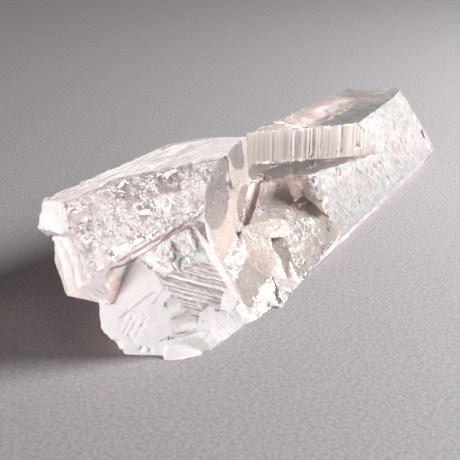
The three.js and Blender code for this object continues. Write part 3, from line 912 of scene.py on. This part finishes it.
def quartz(
    name, clear, rough, grain, marks=None, freckles=0.0, veins=None, milk=PALE, shade=SHADE,
    steps=None, lines=(),
):
    """clear: share of light let through. rough: smoothest and roughest.
    grain: stretch, scale, detail, depth in mm. marks, veins: strength, scale.
    steps: direction, per metre, unevenness, depth in mm, strength of the painted shade on the step
    edges."""
    material, tree, shader = new_material(name)
    shaded_window = mark_on_points(tree, "shaded_window")
    dark, relief = frost(tree, grain, freckles, shaded_window)
    reliefs = [relief]
    layers = []
    if marks:
        mask, relief = curved_marks(tree, marks, MARK_WIDTH, -MARK_DEPTH)
        dark = maths(tree, "MAXIMUM", dark, mask)
        reliefs.append(relief)
    if veins:
        mask, relief = curved_marks(tree, veins, VEIN_WIDTH, VEIN_DEPTH)
        layers.append((mask, CHIP_WHITE_AND_GLINT))
        reliefs.append(relief)
    if steps:
        # Step edges darkened: painted shade.
        mask, relief = terraces(tree, steps)
        dark = maths(tree, "MAXIMUM", dark, mask)
        reliefs.append(relief)
    # The windows in painted grey: painted shade.
    layers.append((shaded_window, WINDOW_PAINTED_SHADE))
    # Ridges painted white: partly chips, partly painted highlight.
    layers.append((mark_on_points(tree, "ridge", RIDGE_WHITE_AND_HIGHLIGHT_SHARE), CHIP_WHITE_AND_GLINT))
    layers.append((mark_on_points(tree, "stain", STAIN_SHARE), IRON))
    layers += [(chain(tree, places, width), tint) for places, width, tint in lines]

    colour = blend(tree, dark, milk, shade)
    for mask, tint in layers:
        colour = blend(tree, mask, colour, tint)
    normal = None
    for height, depth, strength in reliefs:
        normal = bumps(tree, height, depth, normal, strength)
    cloud = use_group(tree, haze_group)["Cloud"]
    roughness = remap(tree, cloud, low=rough[0], high=rough[1])
    put(tree, shader, Base_Color=colour, Roughness=roughness, Normal=normal)
    put(tree, shader, Transmission_Weight=clear, IOR=QUARTZ_INDEX)
    inside = place(tree, "ShaderNodeVolumeAbsorption", Density=INNER_DENSITY, Color=INNER_TINT)
    put(tree, tree.nodes["Material Output"], Volume=inside.outputs["Volume"])
    print(f"finish {name}: lets through {clear:.0%} of the light")
    return material


# %% [markdown]
# ## Smooth and etched faces
#
# The clear faces on top let nearly all light through. The etched face of the tall
# crystal is covered in fine curved marks, dark and bright, and the frosted side of the
# blade in short streaks. In a stretch, a small number draws the grain out that way.

# %% Finishes for smooth and etched faces
EVEN = (1, 1, 1)
ACROSS = (1, 0.35, 0.35)

finishes = {}
finishes["clear"] = quartz(
    "clear face", clear=0.93, rough=(0.02, 0.10), grain=(EVEN, 300.0, 2.0, 0.10),
    veins=(0.3, 300.0), milk=PINKISH,
)
finishes["etched"] = quartz(
    "etched face", clear=0.84, rough=(0.16, 0.36), grain=(EVEN, 5400.0, 4.0, 0.08),
    marks=(1.0, 1300.0), freckles=0.9, veins=(0.8, 900.0), shade=(0.42, 0.39, 0.39, 1),
    lines=[SEAM_LINE, ETCHED_GLINT_LINE],
)
finishes["frosted"] = quartz(
    "frosted face", clear=0.62, rough=(0.1, 0.32), grain=(ACROSS, 4600.0, 4.0, 0.2),
    freckles=1.0, milk=(0.88, 0.86, 0.86, 1),
)

# %% [markdown]
# ## Striped, stepped and ribbed faces
#
# These grew in parallel layers. The wall and the small stepped face have coarse stripes
# in the mesh already, and get finer ones here. The ribs of the top run along the crystal.

# %% Finishes for striped, stepped and ribbed faces
UPRIGHT = (1, 1, 0.04)
LENGTHWISE = (0.1, 1, 1)
ALONG_THE_WALL = tuple(float(v) for v in ALONG_WALL)
ACROSS_THE_STEPS = tuple(float(v) for v in ACROSS_STEPS)

# The wall's finer stripes and the small steps are darkened at their edges: painted shade.
finishes["striped"] = quartz(
    "striped wall", clear=0.35, rough=(0.05, 0.15), grain=(UPRIGHT, 3600.0, 3.0, 0.04),
    milk=(1.0, 0.93, 0.90, 1), shade=(0.72, 0.60, 0.56, 1),
    steps=(ALONG_THE_WALL, 2300.0, 2.5, 0.02, 0.35),
)
finishes["stepped"] = quartz(
    "stepped face", clear=0.35, rough=(0.04, 0.15), grain=(EVEN, 1600.0, 3.0, 0.03),
    shade=(0.42, 0.36, 0.34, 1), steps=(ACROSS_THE_STEPS, 2900.0, 0.8, 0.2, 0.9),
)
finishes["ribbed"] = quartz(
    "ribbed face", clear=0.62, rough=(0.05, 0.2), grain=(LENGTHWISE, 2200.0, 4.0, 0.2),
    marks=(0.5, 700.0), freckles=0.3, milk=(0.90, 0.88, 0.87, 1),
)

# %% [markdown]
# ## Plain faces
#
# The near face of the low crystal is bright and milky, with cracks and two faint edges
# of facets in painted shade.
# The prism faces at the back and sides carry fine lines across their length.

# %% Finishes for plain faces
CROSSWISE = (1, 0.12, 0.12)

finishes["near"] = quartz(
    "near face", clear=0.42, rough=(0.05, 0.2), grain=(EVEN, 900.0, 4.0, 0.08),
    marks=(0.1, 600.0), veins=(0.5, 350.0), milk=(0.97, 0.94, 0.955, 1),
    lines=NEAR_LINES + [LOW_CRACK_LINE, SEAM_LINE],
)
finishes["prism"] = quartz(
    "prism face", clear=0.8, rough=(0.05, 0.2), grain=(CROSSWISE, 2200.0, 3.0, 0.05),
    marks=(0.3, 500.0),
)

# %% [markdown]
# ## Broken and worn places
#
# The flank is an old break, creamy and full of fine white cracks. The breaks at the near
# end are fresher and sparkle more. The underside is worn dull by lying on it.

# %% Finishes for broken and worn places
finishes["flank"] = quartz(
    "broken flank", clear=0.6, rough=(0.15, 0.35), grain=(EVEN, 2800.0, 5.0, 0.07),
    marks=(0.5, 900.0), veins=(1.0, 500.0), milk=(0.92, 0.815, 0.765, 1), lines=FLANK_LINES,
)
finishes["resting"] = quartz(
    "worn underside", clear=0.65, rough=(0.2, 0.5), grain=(EVEN, 2200.0, 4.0, 0.06),
)
finishes["broken"] = quartz(
    "fresh break", clear=0.45, rough=(0.03, 0.14), grain=(EVEN, 1100.0, 5.0, 0.09),
    marks=(0.3, 700.0), veins=(0.8, 450.0), milk=(0.97, 0.925, 0.93, 1),
    lines=[SEAM_LINE, LOW_CRACK_LINE],
)

# %% [markdown]
# ## Giving each small face its finish
#
# Each triangle takes the kind of face that its three points agree on most. Separate
# objects for the finishes would need seams between them, and the stone has none.

# %% Give each small face its finish
SMOOTH_UNDER = math.radians(20)

kinds = list(finishes)
for kind in kinds:
    stone_mesh.materials.append(finishes[kind])
triangles = np.zeros(len(stone_mesh.polygons) * 3, np.int32)
stone_mesh.polygons.foreach_get("vertices", triangles)
triangles = triangles.reshape(-1, 3)
strongest = np.stack([masks[kind] for kind in kinds])[:, triangles].sum(2).argmax(0)
stone_mesh.polygons.foreach_set("material_index", strongest.astype(np.int32))
stone_mesh.polygons.foreach_set("use_smooth", np.ones(len(triangles), bool))
stone_mesh.set_sharp_from_angle(angle=SMOOTH_UNDER)
stone_mesh.update()
for kind, count in zip(kinds, np.bincount(strongest, minlength=len(kinds))):
    print(f"{kind:8} {count:6} triangles")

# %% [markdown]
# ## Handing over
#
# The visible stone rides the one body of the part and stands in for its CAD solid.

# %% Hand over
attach(stone, "root")
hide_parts("quartz_crystal")
